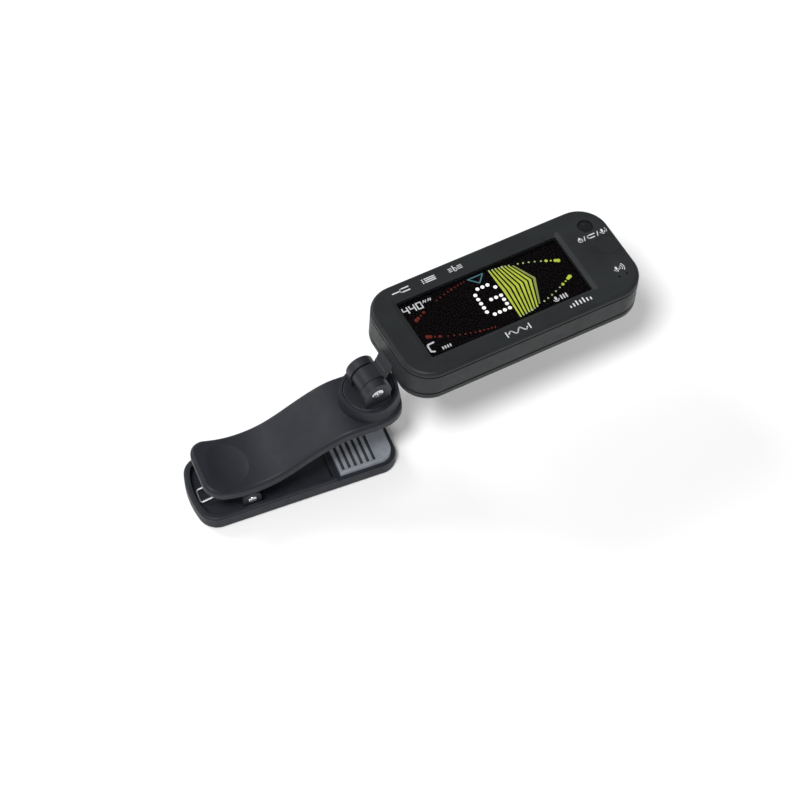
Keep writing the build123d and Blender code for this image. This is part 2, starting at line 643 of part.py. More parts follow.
with BuildPart() as front_bezel:
    extrude(head_plan(BEZEL_SPLIT, 0), amount=FACE_Z - BEZEL_SPLIT)
    fillet(front_bezel.edges().group_by(HEAD_UP)[-1], 1.1)
    cut_seam(BEZEL_SPLIT, BEZEL_SPLIT + 0.25)
    with BuildSketch(HEAD.offset(BEZEL_SPLIT)):
        with Locations((WINDOW_MID, 0)):
            RectangleRounded(WINDOW_LENGTH, WINDOW_WIDTH, 0.5)
    extrude(amount=5, mode=Mode.SUBTRACT)
    # Sloping frame round the window.
    with BuildSketch(HEAD.offset(FACE_Z - WINDOW_BEVEL)):
        with Locations((WINDOW_MID, 0)):
            RectangleRounded(WINDOW_LENGTH, WINDOW_WIDTH, 0.5)
    with BuildSketch(HEAD.offset(FACE_Z)):
        with Locations((WINDOW_MID, 0)):
            RectangleRounded(WINDOW_LENGTH + 2 * WINDOW_BEVEL_WIDE, WINDOW_WIDTH + 2 * WINDOW_BEVEL_WIDE, 0.9)
    loft(mode=Mode.SUBTRACT)
    with BuildSketch(HEAD.offset(BEZEL_SPLIT)):
        with Locations(POWER_AT):
            Circle(POWER_R + 0.08)
    extrude(amount=5, mode=Mode.SUBTRACT)
    with BuildSketch(HEAD.offset(BEZEL_SPLIT)):
        with Locations(MIC_AT):
            with GridLocations(MIC_HOLE_SPACING, 0, 2, 1):
                Circle(0.35)
    extrude(amount=5, mode=Mode.SUBTRACT)
    # Faint round mark between the button and the microphone.
    with BuildSketch(HEAD.offset(FACE_Z - MARK_DEEP)):
        with Locations(MARK_AT):
            Circle(MARK_R)
            Circle(MARK_R - MARK_LINE, mode=Mode.SUBTRACT)
    extrude(amount=1, mode=Mode.SUBTRACT)
front_bezel.part.label = "front_bezel"

with BuildPart() as case_screws:
    with BuildSketch(HEAD.offset(BACK_Z + 0.1)):
        with Locations(*PILLARS):
            Circle(CASE_SCREW_HEAD_R)
    extrude(amount=CASE_SCREW_HEAD_T)
    with BuildSketch(HEAD.offset(BACK_Z + CASE_SCREW_HEAD_T + 0.1)):
        with Locations(*PILLARS):
            Circle(CASE_SCREW_R)
    extrude(amount=CASE_SCREW_LENGTH)
    with BuildSketch(HEAD.offset(BACK_Z + 0.1)):
        for spot in PILLARS:
            with Locations(spot):
                Rectangle(1.8, CROSS_WIDTH)
                Rectangle(CROSS_WIDTH, 1.8)
    extrude(amount=CROSS_DEEP, mode=Mode.SUBTRACT)
case_screws.part.label = "case_screws"

# ---------------------------------------------------------------- head: display


def window_slab(low, thickness, grow):
    """A plate over the window, grown past its edge, between two heights of the head."""
    with BuildSketch(HEAD.offset(low), mode=Mode.PRIVATE) as plate:
        with Locations((WINDOW_MID, 0)):
            RectangleRounded(WINDOW_LENGTH + 2 * grow, WINDOW_WIDTH + 2 * grow, 0.5)
    extrude(plate.sketch, amount=thickness)


with BuildPart() as screen_lens:
    window_slab(BEZEL_SPLIT, LENS_TOP - BEZEL_SPLIT, 0)
screen_lens.part.label = "screen_lens"

with BuildPart() as lcd_panel:
    window_slab(BEZEL_SPLIT - LCD_GAP - LCD_T, LCD_T, 1.2)
lcd_panel.part.label = "lcd_panel"

with BuildPart() as backlight:
    window_slab(BEZEL_SPLIT - LCD_GAP - LCD_T - BACKLIGHT_T, BACKLIGHT_T, 1.0)
backlight.part.label = "backlight"

with BuildPart() as lcd_ribbon:
    with BuildSketch(HEAD_SIDE):
        with BuildLine():
            FilletPolyline(
                (WINDOW_X - 1.2, BEZEL_SPLIT - 0.7), (WINDOW_X - 2.2, BEZEL_SPLIT - 0.7),
                (WINDOW_X - 2.2, BOARD_Z + BOARD_T), (WINDOW_X + 0.8, BOARD_Z + BOARD_T),
                (WINDOW_X + 0.8, BOARD_Z + BOARD_T + 0.2), (WINDOW_X - 2.0, BOARD_Z + BOARD_T + 0.2),
                (WINDOW_X - 2.0, BEZEL_SPLIT - 0.9), (WINDOW_X - 1.2, BEZEL_SPLIT - 0.9),
                radius=0.05, close=True,
            )
        make_face()
    extrude(amount=6.0, both=True)
lcd_ribbon.part.label = "lcd_ribbon"

# ---------------------------------------------------------------- head: electronics

with BuildPart() as main_board:
    with BuildSketch(HEAD.offset(BOARD_Z)):
        with Locations((BOARD_MID, 0)):
            RectangleRounded(BOARD_LENGTH, BOARD_WIDTH, 3.0)
        with Locations((BOARD_MID + BOARD_LENGTH / 2, 0)):
            Rectangle(10.0, PORT[0] + 0.1, mode=Mode.SUBTRACT)
        with Locations(*PILLARS):
            Circle(PILLAR_R + 0.2, mode=Mode.SUBTRACT)
        with Locations(*[(x, y * 1.2) for x, y in PILLARS[2:]]):
            Rectangle(1.8, 4.0, mode=Mode.SUBTRACT)
    extrude(amount=BOARD_T)
main_board.part.label = "main_board"


def chip(name, spot, size, height):
    """A flat package standing on the main board."""
    with BuildPart() as package:
        with BuildSketch(HEAD.offset(BOARD_Z + BOARD_T)):
            with Locations(spot):
                Rectangle(*size)
        extrude(amount=height)
        chamfer(package.edges().group_by(HEAD_UP)[-1], 0.1)
    package.part.label = name
    return package


microcontroller = chip("microcontroller", (40.0, 0.0), (7.0, 7.0), 0.8)
audio_amplifier = chip("audio_amplifier", (24.0, 4.0), (4.0, 4.0), 0.7)
clock_crystal = chip("clock_crystal", (50.0, 4.5), (3.2, 1.6), 0.7)

with BuildPart() as battery:
    with BuildSketch(HEAD.offset(BACK_Z + COVER_FLOOR + 0.1)):
        with Locations((44.0, 0)):
            Rectangle(34.0, 22.0)
    extrude(amount=3.5)
    fillet(battery.edges().filter_by(HEAD_UP), 1.2)
battery.part.label = "battery"

with BuildPart() as battery_tape:
    with BuildSketch(HEAD.offset(BACK_Z + COVER_FLOOR)):
        with Locations((44.0, 0)):
            Rectangle(28.0, 16.0)
    extrude(amount=0.1)
battery_tape.part.label = "battery_tape"

with BuildPart() as piezo_disc:
    with BuildSketch(HEAD.offset(BACK_Z + COVER_FLOOR)):
        with Locations((17.5, 0)):
            Circle(6.0)
    extrude(amount=0.25)
    with BuildSketch(HEAD.offset(BACK_Z + COVER_FLOOR + 0.25)):
        with Locations((17.5, 0)):
            Circle(4.3)
    extrude(amount=0.2)
piezo_disc.part.label = "piezo_disc"

with BuildPart() as microphone:
    with BuildSketch(HEAD.offset(BEZEL_SPLIT)):
        with Locations(MIC_AT):
            Circle(1.9)
    extrude(amount=-1.6)
microphone.part.label = "microphone"

with BuildPart() as usb_socket:
    with BuildSketch(PORT_FACE.offset(-0.4)):
        with Locations((0, PORT_Z)):
            RectangleRounded(PORT[0], PORT[1], PORT[1] / 2 - 0.01)
    extrude(amount=-7.0)
    with BuildSketch(PORT_FACE.offset(-0.4)):
        with Locations((0, PORT_Z)):
            RectangleRounded(PORT[0] - 0.6, PORT[1] - 0.6, PORT[1] / 2 - 0.31)
    extrude(amount=-6.2, mode=Mode.SUBTRACT)
    with BuildSketch(PORT_FACE.offset(-6.6)):
        with Locations((0, PORT_Z)):
            Rectangle(6.7, 0.7)
    extrude(amount=5.2)
usb_socket.part.label = "usb_socket"

with BuildPart() as power_switch:
    with BuildSketch(HEAD.offset(BOARD_Z + BOARD_T)):
        with Locations(POWER_AT):
            RectangleRounded(3.6, 3.6, 0.3)
    extrude(amount=POWER_STEM - BUTTON_TRAVEL - 0.1 - BOARD_Z - BOARD_T)
power_switch.part.label = "power_switch"

with BuildPart() as side_switches:
    with BuildSketch(HEAD.offset(BOARD_Z + BOARD_T)):
        with Locations(*[(x, (SWITCH_IN + SWITCH_OUT) / 2) for x in SIDE_BUTTONS]):
            Rectangle(3.4, SWITCH_OUT - SWITCH_IN)
    extrude(amount=1.7)
side_switches.part.label = "side_switches"

# ---------------------------------------------------------------- head: buttons

with BuildPart() as power_button:
    with BuildSketch(HEAD.offset(POWER_STEM)):
        with Locations(POWER_AT):
            Circle(POWER_R)
    extrude(amount=FACE_Z - 0.25 - POWER_STEM)
    fillet(power_button.edges().group_by(HEAD_UP)[-1], 0.3)
    with BuildSketch(HEAD.offset(POWER_STEM)):
        with Locations(POWER_AT):
            Circle(POWER_R + 0.35)
    extrude(amount=BEZEL_SPLIT - 0.05 - POWER_STEM)
power_button.part.label = "power_button"


def side_button(name, x):
    """A push button in the long wall: cap, retaining flange and stem."""
    cap_plane = HEAD_SIDE.offset(-HEAD_WIDTH / 2 - CAP_PROUD)
    with BuildPart() as button:
        with BuildSketch(cap_plane):
            with Locations((x, SIDE_BUTTON_Z)):
                RectangleRounded(SIDE_CAP[0], SIDE_CAP[1], 0.6)
        extrude(amount=CAP_PROUD + WALL + 0.05)
        fillet(button.edges().group_by(HEAD_ACROSS)[-1], 0.3)
        with BuildSketch(HEAD_SIDE.offset(-HEAD_WIDTH / 2 + WALL + 0.05)):
            with Locations((x, SIDE_BUTTON_Z)):
                Rectangle(SIDE_CAP[0] + 0.9, FLANGE_HIGH)
        extrude(amount=0.45)
    button.part.label = name
    return button


pitch_button = side_button("pitch_button", SIDE_BUTTONS[0])
item_button = side_button("item_button", SIDE_BUTTONS[1])
flat_button = side_button("flat_button", SIDE_BUTTONS[2])

# ---------------------------------------------------------------- export

PIECES = [
    lower_lever, lower_jaw_pad, pivot_pin, torsion_spring, upper_lever, upper_jaw_pad,
    turntable, swivel_washer, swivel_screw, hinge_screw, hinge_nut, hinge_washers, hinge_tongue,
    back_cover, middle_frame, front_bezel, case_screws, screen_lens, lcd_panel, backlight, lcd_ribbon,
    main_board, microcontroller, audio_amplifier, clock_crystal, battery, battery_tape, piezo_disc, microphone,
    usb_socket, power_switch, side_switches, power_button, pitch_button, item_button, flat_button,
]
for piece in PIECES:
    export_step(piece.part, f"parts/{piece.part.label}.step")
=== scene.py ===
import json
import math

import bmesh
import bpy
from mathutils import Matrix, Vector


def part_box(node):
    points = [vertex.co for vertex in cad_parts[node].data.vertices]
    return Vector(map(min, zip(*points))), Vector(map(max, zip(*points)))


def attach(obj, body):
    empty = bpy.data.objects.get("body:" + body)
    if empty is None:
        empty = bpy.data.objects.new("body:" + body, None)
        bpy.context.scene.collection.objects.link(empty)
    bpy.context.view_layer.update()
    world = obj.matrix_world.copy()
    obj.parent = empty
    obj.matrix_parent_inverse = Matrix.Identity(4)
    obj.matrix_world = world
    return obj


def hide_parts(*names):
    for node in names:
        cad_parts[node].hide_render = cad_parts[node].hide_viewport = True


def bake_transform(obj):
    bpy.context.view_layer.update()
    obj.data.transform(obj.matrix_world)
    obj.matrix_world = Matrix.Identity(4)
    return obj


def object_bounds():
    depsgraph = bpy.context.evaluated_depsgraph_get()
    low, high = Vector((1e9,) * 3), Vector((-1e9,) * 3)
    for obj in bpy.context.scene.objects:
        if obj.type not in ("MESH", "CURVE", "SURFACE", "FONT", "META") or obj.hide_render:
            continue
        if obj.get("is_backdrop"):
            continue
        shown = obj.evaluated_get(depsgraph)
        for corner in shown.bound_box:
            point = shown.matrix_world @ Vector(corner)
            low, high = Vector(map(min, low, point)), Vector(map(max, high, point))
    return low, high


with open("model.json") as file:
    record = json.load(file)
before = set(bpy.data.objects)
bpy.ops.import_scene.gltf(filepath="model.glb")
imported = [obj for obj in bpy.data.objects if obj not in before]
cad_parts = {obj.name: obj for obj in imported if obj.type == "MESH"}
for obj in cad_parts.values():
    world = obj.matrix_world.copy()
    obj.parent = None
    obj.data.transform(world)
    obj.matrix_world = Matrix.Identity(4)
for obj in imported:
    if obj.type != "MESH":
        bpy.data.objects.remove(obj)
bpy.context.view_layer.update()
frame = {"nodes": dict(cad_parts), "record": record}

NODES = frame["nodes"]
RECORD = frame["record"]
JOINTS = {j["name"]: j for j in RECORD["behaviour"]["joints"]}
MOUNTS = {m["name"]: m for m in RECORD["mounts"]}
MM = 0.001

# ---------------------------------------------------------------- head frame, from the record

HINGE = Vector(JOINTS["tilt"]["pos_m"])
HEAD_X = Vector(MOUNTS["charging_port"]["axis"]).normalized()
HEAD_Z = -Vector(JOINTS["power_press"]["axis"]).normalized()
HEAD_Y = HEAD_Z.cross(HEAD_X).normalized()
HEAD = Matrix((HEAD_X, HEAD_Y, HEAD_Z)).transposed().to_4x4()
HEAD.translation = HINGE
PIN = Vector(JOINTS["clip_hinge"]["pos_m"])


def head_span(node):
    """A CAD node's lowest and highest corner in the head's own axes, in metres."""
    inverse = HEAD.inverted()
    points = [inverse @ v.co for v in NODES[node].data.vertices]
    low = Vector([min(p[i] for p in points) for i in range(3)])
    high = Vector([max(p[i] for p in points) for i in range(3)])
    return low, high


LENS_LOW, LENS_HIGH = head_span("screen_lens")
LCD_TOP = head_span("lcd_panel")[1].z
BEZEL_HIGH = head_span("front_bezel")[1]

# ---------------------------------------------------------------- materials


def new_material(name):
    """An empty node material with its Principled shader."""
    mat = bpy.data.materials.new(name)
    mat.use_nodes = True
    return mat, mat.node_tree, mat.node_tree.nodes["Principled BSDF"]


def ramp(tree, source, stops):
    """A colour ramp fed by a value socket."""
    node = tree.nodes.new("ShaderNodeValToRGB")
    for i, (place, value) in enumerate(stops):
        if i > 1:
            node.color_ramp.elements.new(place)
        node.color_ramp.elements[i].position = place
        node.color_ramp.elements[i].color = (*value, 1)
    tree.links.new(source, node.inputs["Fac"])
    return node.outputs["Color"]


def noise(tree, scale, detail=4.0, rough=0.55, stretch=(1, 1, 1)):
    """Noise in object space; scale is in features per metre."""
    coord = tree.nodes.new("ShaderNodeTexCoord")
    mapping = tree.nodes.new("ShaderNodeMapping")
    mapping.inputs["Scale"].default_value = stretch
    node = tree.nodes.new("ShaderNodeTexNoise")
    node.inputs["Scale"].default_value = scale
    node.inputs["Detail"].default_value = detail
    node.inputs["Roughness"].default_value = rough
    tree.links.new(coord.outputs["Object"], mapping.inputs["Vector"])
    tree.links.new(mapping.outputs["Vector"], node.inputs["Vector"])
    return node.outputs["Fac"]


TONE_SPREAD = 0.14
GRAIN_DEPTH = 0.03 * MM
SCRATCH_DEPTH = 0.01 * MM


def grey(value):
    """A value as a colour with three equal parts."""
    return (value,) * 3


def multiply(color, factor):
    return tuple(min(1.0, c * factor) for c in color)


def relief(tree, shader, height, strength, depth):
    """Fine bumps on the surface, from a height socket; depth is in metres."""
    bump = tree.nodes.new("ShaderNodeBump")
    bump.inputs["Strength"].default_value = strength
    bump.inputs["Distance"].default_value = depth
    tree.links.new(height, bump.inputs["Height"])
    tree.links.new(bump.outputs["Normal"], shader.inputs["Normal"])


def moulded(name, color, rough=0.5, grain=2600.0, cloud=90.0, wear=0.35, spec=0.4):
    """Moulded plastic or rubber: spark-eroded grain, faint handling clouds, paler worn edges."""
    mat, tree, shader = new_material(name)
    dark, light = multiply(color, 1 - TONE_SPREAD), multiply(color, 1 + TONE_SPREAD)
    base = ramp(tree, noise(tree, cloud, 5.0), [(0.32, dark), (0.68, light)])
    edge = tree.nodes.new("ShaderNodeNewGeometry").outputs["Pointiness"]
    worn = ramp(tree, edge, [(0.5, grey(0)), (0.62, grey(wear))])
    mix = tree.nodes.new("ShaderNodeMix")
    mix.data_type = "RGBA"
    tree.links.new(worn, mix.inputs["Factor"])
    tree.links.new(base, mix.inputs["A"])
    mix.inputs["B"].default_value = (*[min(1.0, c * 2.1 + 0.01) for c in color], 1)
    tree.links.new(mix.outputs["Result"], shader.inputs["Base Color"])
    rub = ramp(tree, noise(tree, cloud * 4, 6.0), [(0.3, grey(rough - 0.07)), (0.7, grey(rough + 0.08))])
    tree.links.new(rub, shader.inputs["Roughness"])
    shader.inputs["Specular IOR Level"].default_value = spec
    relief(tree, shader, noise(tree, grain, 2.0, 0.5), 0.35, GRAIN_DEPTH)
    return mat


def paint_groove_shade(mat, reach, darkest_shade):
    """Painted shade: darkens the bottoms of narrow grooves, where little light falls, by how closed in each
    point is.
    """
    tree = mat.node_tree
    base = tree.nodes["Principled BSDF"].inputs["Base Color"]
    surface = base.links[0].from_socket
    hollow = tree.nodes.new("ShaderNodeAmbientOcclusion")
    hollow.inputs["Distance"].default_value = reach
    hollow.samples = 8
    hollow.only_local = True
    # painted shade: the ambient occlusion value darkens the base colour in hollows and grooves
    groove_shade = ramp(tree, hollow.outputs["AO"], [(0.45, grey(darkest_shade)), (0.85, grey(1))])
    mix = tree.nodes.new("ShaderNodeMix")
    mix.data_type = "RGBA"
    mix.blend_type = "MULTIPLY"
    mix.inputs["Factor"].default_value = 1.0
    tree.links.new(surface, mix.inputs["A"])
    tree.links.new(groove_shade, mix.inputs["B"])
    tree.links.new(mix.outputs["Result"], base)


def metal(name, color, rough=0.25, brush=(1, 1, 1)):
    """Plated or drawn metal with fine scratches and dull patches."""
    mat, tree, shader = new_material(name)
    shader.inputs["Metallic"].default_value = 1.0
    tone = ramp(tree, noise(tree, 300.0, 4.0), [(0.3, multiply(color, 0.82)), (0.7, color)])
    tree.links.new(tone, shader.inputs["Base Color"])
    lines = noise(tree, 900.0, 6.0, 0.6, brush)
    rub = ramp(tree, lines, [(0.25, grey(max(0.05, rough - 0.1))), (0.75, grey(rough + 0.12))])
    tree.links.new(rub, shader.inputs["Roughness"])
    relief(tree, shader, lines, 0.2, SCRATCH_DEPTH)
    return mat


def lit(name, color, power):
    """A lit display element, a little uneven in brightness."""
    mat, tree, shader = new_material(name)
    shader.inputs["Base Color"].default_value = (*multiply(color, 0.25), 1)
    shader.inputs["Roughness"].default_value = 0.4
    glow = ramp(tree, noise(tree, 700.0, 3.0), [(0.3, multiply(color, 0.72)), (0.7, color)])
    tree.links.new(glow, shader.inputs["Emission Color"])
    shader.inputs["Emission Strength"].default_value = power
    return mat


def paint(name, color):
    """Pad-printed ink, slightly broken up."""
    mat, tree, shader = new_material(name)
    tone = ramp(tree, noise(tree, 2500.0, 4.0), [(0.3, multiply(color, 0.8)), (0.6, color)])
    tree.links.new(tone, shader.inputs["Base Color"])
    rub = ramp(tree, noise(tree, 1800.0, 3.0), [(0.3, grey(0.4)), (0.7, grey(0.6))])
    tree.links.new(rub, shader.inputs["Roughness"])
    return mat


def clear_lens(name):
    """Smoked clear plastic: thin, nearly black in reflection, with faint scuffs."""
    mat, tree, shader = new_material(name)
    shader.inputs["Base Color"].default_value = (0.004, 0.004, 0.005, 1)
    shader.inputs["Alpha"].default_value = 0.14
    shader.inputs["IOR"].default_value = 1.49
    shader.inputs["Specular IOR Level"].default_value = 0.10
    scuffs = ramp(tree, noise(tree, 500.0, 5.0), [(0.35, grey(0.03)), (0.8, grey(0.10))])
    tree.links.new(scuffs, shader.inputs["Roughness"])
    return mat


def dark_display(name):
    """The unlit display panel: black with a faint warm cast."""
    mat, tree, shader = new_material(name)
    darker, lighter = (0.0016, 0.0009, 0.0010), (0.0030, 0.0016, 0.0018)
    shade = ramp(tree, noise(tree, 60.0, 3.0), [(0.3, darker), (0.7, lighter)])
    tree.links.new(shade, shader.inputs["Base Color"])
    rub = ramp(tree, noise(tree, 1500.0, 3.0), [(0.3, grey(0.10)), (0.7, grey(0.18))])
    tree.links.new(rub, shader.inputs["Roughness"])
    shader.inputs["Specular IOR Level"].default_value = 0.05
    return mat


CLIP = moulded("clip_plastic_look", (0.0130, 0.0150, 0.0205), rough=0.5, wear=0.2, spec=0.25)
HINGE_LOOK = moulded("hinge_plastic_look", (0.0115, 0.013, 0.0165), rough=0.42, wear=0.25, spec=0.3)
CASE = moulded("case_plastic_look", (0.0135, 0.0155, 0.0165), rough=0.46, wear=0.25, spec=0.22)
KEY = moulded("button_plastic_look", (0.006, 0.0065, 0.007), rough=0.42, wear=0.25, spec=0.25)
PAD_GREY = (0.20, 0.215, 0.24)
PAD = moulded("pad_rubber_look", PAD_GREY, rough=0.7, grain=1500.0, cloud=240.0, wear=0.3, spec=0.25)
# painted shade in the bottoms of the pad's grooves
paint_groove_shade(PAD, 1.6 * MM, 0.10)
NYLON = moulded("nylon_look", (0.55, 0.55, 0.52), rough=0.5)
CHIP = moulded("chip_look", (0.012, 0.012, 0.013), rough=0.55)
WHITE = moulded("diffuser_look", (0.8, 0.81, 0.81), rough=0.5)
AMBER = moulded("flex_look", (0.40, 0.16, 0.03), rough=0.35)
BOARD = moulded("board_look", (0.01, 0.09, 0.035), rough=0.35)
BRIGHT = metal("bright_steel_look", (0.82, 0.82, 0.84), rough=0.16)
STEEL = metal("zinc_steel_look", (0.55, 0.55, 0.57), rough=0.32)
SPRING = metal("spring_wire_look", (0.42, 0.42, 0.43), rough=0.45, brush=(1, 6, 1))
BLACKENED = metal("black_steel_look", (0.06, 0.06, 0.065), rough=0.35)
FOIL = metal("cell_foil_look", (0.72, 0.73, 0.74), rough=0.4)
BRASS = metal("brass_look", (0.72, 0.50, 0.20), rough=0.3)
GLASS = clear_lens("lens_look")
PANEL = dark_display("display_look")

LOOKS = {
    "clip_plastic": CLIP, "hinge_plastic": HINGE_LOOK, "case_plastic": CASE, "button_plastic": KEY,
    "pad_rubber": PAD, "bright_pin": BRIGHT, "spring_wire": SPRING, "plain_steel": STEEL,
    "black_steel": BLACKENED, "washer_plastic": NYLON, "diffuser_white": WHITE, "flex_amber": AMBER,
    "board_green": BOARD, "chip_black": CHIP, "cell_foil": FOIL, "piezo_brass": BRASS,
    "capsule_aluminium": FOIL, "lens_clear": GLASS, "display_glass": PANEL,
}

slot_of = {part["node"]: part["material_slot"] for part in RECORD["subparts"]}
for name, node in NODES.items():
    node.data.materials.clear()
    node.data.materials.append(LOOKS[slot_of[name]])

# ---------------------------------------------------------------- flat graphics


def mesh_object(name, bm, look):
    """Turns a bmesh in metres into an object in the scene."""
    mesh = bpy.data.meshes.new(name)
    bm.normal_update()
    bm.to_mesh(mesh)
    bm.free()
    mesh.materials.append(look)
    obj = bpy.data.objects.new(name, mesh)
    bpy.context.scene.collection.objects.link(obj)
    return obj


def riding_piece(name, draw, body, look):
    """A piece made by a drawing function, which rides on a body."""
    bm = bmesh.new()
    draw(bm)
    obj = mesh_object(name, bm, look)
    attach(obj, body)


def twice_area(outline):
    """Twice an outline's area, negative where it runs clockwise."""
    following = outline[1:] + outline[:1]
    return sum(x0 * y1 - x1 * y0 for (x0, y0), (x1, y1) in zip(outline, following))


def prism(bm, outline, low, high):
    """A closed flat shape in the head's axes (millimetres x, y), between two heights in metres."""
    if twice_area(outline) < 0:
        outline = outline[::-1]
    bottom = [bm.verts.new(HEAD @ Vector((x * MM, y * MM, low))) for x, y in outline]
    top = [bm.verts.new(HEAD @ Vector((x * MM, y * MM, high))) for x, y in outline]
    bm.faces.new(top)
    bm.faces.new(bottom[::-1])
    for i in range(len(outline)):
        bm.faces.new((bottom[i - 1], bottom[i], top[i], top[i - 1]))


def arc(cx, cy, radius, start, stop, steps=16):
    """Points along an arc, angles in degrees."""
    angles = [math.radians(start + (stop - start) * i / steps) for i in range(steps + 1)]
    return [(cx + radius * math.cos(angle), cy + radius * math.sin(angle)) for angle in angles]


END_STEPS = 6
SHORTEST = 1e-6


def stroke(bm, points, width, low, high, closed=False):
    """A line of even width through points, as short prisms with round ends."""
    for (x0, y0), (x1, y1) in zip(points, points[1:] + points[:1] if closed else points[1:]):
        # A straight run and the arc after it share a point, which needs no prism of its own.
        if math.hypot(x1 - x0, y1 - y0) < SHORTEST:
            continue
        left = math.degrees(math.atan2(x1 - x0, y0 - y1))
        near_end = arc(x0, y0, width / 2, left, left + 180, END_STEPS)
        far_end = arc(x1, y1, width / 2, left + 180, left + 360, END_STEPS)
        prism(bm, near_end + far_end, low, high)


def dot(bm, x, y, radius, low, high, sides):
    """A round spot of light or ink."""
    prism(bm, arc(x, y, radius, 0, 360, sides)[:-1], low, high)


# Screen coordinates: a runs 0 to 1 from left to right, b runs 0 to 1 from the far edge to the near edge.
LEFT, RIGHT = LENS_LOW.x / MM, LENS_HIGH.x / MM
FAR, NEAR = LENS_HIGH.y / MM, LENS_LOW.y / MM
GLOW_LOW, GLOW_HIGH = LCD_TOP + 0.005 * MM, LCD_TOP + 0.03 * MM
INK_LOW, INK_HIGH = BEZEL_HIGH.z - 0.01 * MM, BEZEL_HIGH.z + 0.03 * MM


def at(a, b):
    """A screen place in the head's axes, in millimetres."""
    return LEFT + (RIGHT - LEFT) * a, FAR + (NEAR - FAR) * b


LIT_WHITE = lit("lit_white", (1.0, 1.0, 0.97), 1.5)
LIT_SOFT = lit("lit_soft_white", (0.80, 0.82, 0.84), 0.85)
LIT_YELLOW = lit("lit_yellow", (0.42, 0.50, 0.050), 1.40)
LIT_DIM = lit("lit_dim_yellow", (0.30, 0.36, 0.10), 1.0)
LIT_LIME = lit("lit_lime", (0.48, 0.60, 0.26), 1.0)
LIT_RED = lit("lit_red", (0.16, 0.014, 0.008), 0.9)
LIT_CYAN = lit("lit_cyan", (0.09, 0.26, 0.30), 0.85)
INK = paint("white_ink", (0.66, 0.67, 0.68))


def glow_line(bm, points, width, closed=False):
    stroke(bm, points, width, GLOW_LOW, GLOW_HIGH, closed)


def glow_dot(bm, spot, radius, sides):
    dot(bm, *spot, radius, GLOW_LOW, GLOW_HIGH, sides)


# The note name, built of round dots on a grid.
NOTE = [" ### ", "#   #", "#    ", "# ###", "#   #", "#   #", " ####"]
NOTE_SPOT = at(0.484, 0.485)
NOTE_PITCH = 1.56
NOTE_DOT_R = 0.56


def note_name(bm):
    cx, cy = NOTE_SPOT
    for r, row in enumerate(NOTE):
        for c, mark in enumerate(row):
            if mark == "#":
                spot = (cx + (c - 2) * NOTE_PITCH, cy + (3 - r) * NOTE_PITCH)
                glow_dot(bm, spot, NOTE_DOT_R, 14)


# The dial: two shallow arcs of dots, above and below the middle line of the screen.
DIAL_X, DIAL_Y = (LEFT + RIGHT) / 2, 0.35
DIAL_HALF = 8.65
DIAL_DROP = 0.0115
DOT_STEPS = 12
LONG_DOT = 4
DIAL_START = 3.5
DIAL_STEP = 0.95
DIAL_SPREAD = 0.032
LEFT_DOTS_SHIFT = 0.9
LEFT_FAR_DOTS = 9
END_MARKS = ((19.1, 0.46), (20.3, 0.28), (21.4, 0.52), (22.1, 0.60))

# The fan of bars, from nearly straight to a chevron.
FULL_BARS = 7
KNEE_START = 3.9
KNEE_STEP = 1.33
KNEE_ABOVE = 0.9
BAR_END_GAP = 0.25
BAR_HALF_END = 0.23
BAR_HALF_KNEE = 0.40


def rim_spot(across, side):
    """A point on the dial's upper (1) or lower (-1) arc, a distance across from its middle."""
    return DIAL_X + across, DIAL_Y + side * (DIAL_HALF - DIAL_DROP * across ** 2)


def bar_foot(i):
    """Distance of the i-th bar's ends from the dial's middle."""
    return DIAL_START + DIAL_STEP * i


def dot_distance(i):
    """Distance of the i-th dot from the dial's middle: the dots stand wider apart toward the ends."""
    return bar_foot(i) + DIAL_SPREAD * i ** 2


def bar(bm, i):
    """One bent bar of the fan, thicker at its knee."""
    (x, y_top), (_, y_bottom) = rim_spot(bar_foot(i), 1), rim_spot(bar_foot(i), -1)
    y_top, y_bottom = y_top - BAR_END_GAP, y_bottom + BAR_END_GAP
    knee_x, knee_y = DIAL_X + KNEE_START + KNEE_STEP * i, DIAL_Y + KNEE_ABOVE
    outline = [
        (x - BAR_HALF_END, y_top), (knee_x - BAR_HALF_KNEE, knee_y), (x - BAR_HALF_END, y_bottom),
        (x + BAR_HALF_END, y_bottom), (knee_x + BAR_HALF_KNEE, knee_y), (x + BAR_HALF_END, y_top),
    ]
    prism(bm, outline, GLOW_LOW, GLOW_HIGH)


def full_bars(bm):
    for i in range(FULL_BARS):
        bar(bm, i)


def half_lit_bar(bm):
    """The outermost bar of the fan."""
    bar(bm, FULL_BARS)


def right_dots(bm):
    """A dot at each bar's end, then dots that stand wider apart."""
    for i in range(DOT_STEPS):
        across = bar_foot(i) if i < FULL_BARS else dot_distance(i)
        for side in (1, -1):
            glow_dot(bm, rim_spot(across, side), 0.40 if i == LONG_DOT else 0.27, 10)


def left_dots(bm):
    """Dots on the unlit side, where the far arc is cut short by the reference figures."""
    for i in range(DOT_STEPS):
        for side in (1, -1) if i < LEFT_FAR_DOTS else (-1,):
            spot = rim_spot(-dot_distance(i) - LEFT_DOTS_SHIFT, side)
            glow_dot(bm, spot, 0.36 if i == LONG_DOT else 0.25, 10)


def end_marks(bm, way):
    """The dial's end marks on one side: a dot, a small dot and a double dot, on both arcs."""
    for side in (1, -1):
        for across, radius in END_MARKS:
            glow_dot(bm, rim_spot(way * across, side), radius, 12)


def right_marks(bm):
    end_marks(bm, 1)


def left_marks(bm):
    end_marks(bm, -1)


def pointer(bm):
    """An outlined triangle above the note."""
    glow_line(bm, [at(0.436, 0.052), at(0.530, 0.052), at(0.485, 0.172)], 0.34, closed=True)


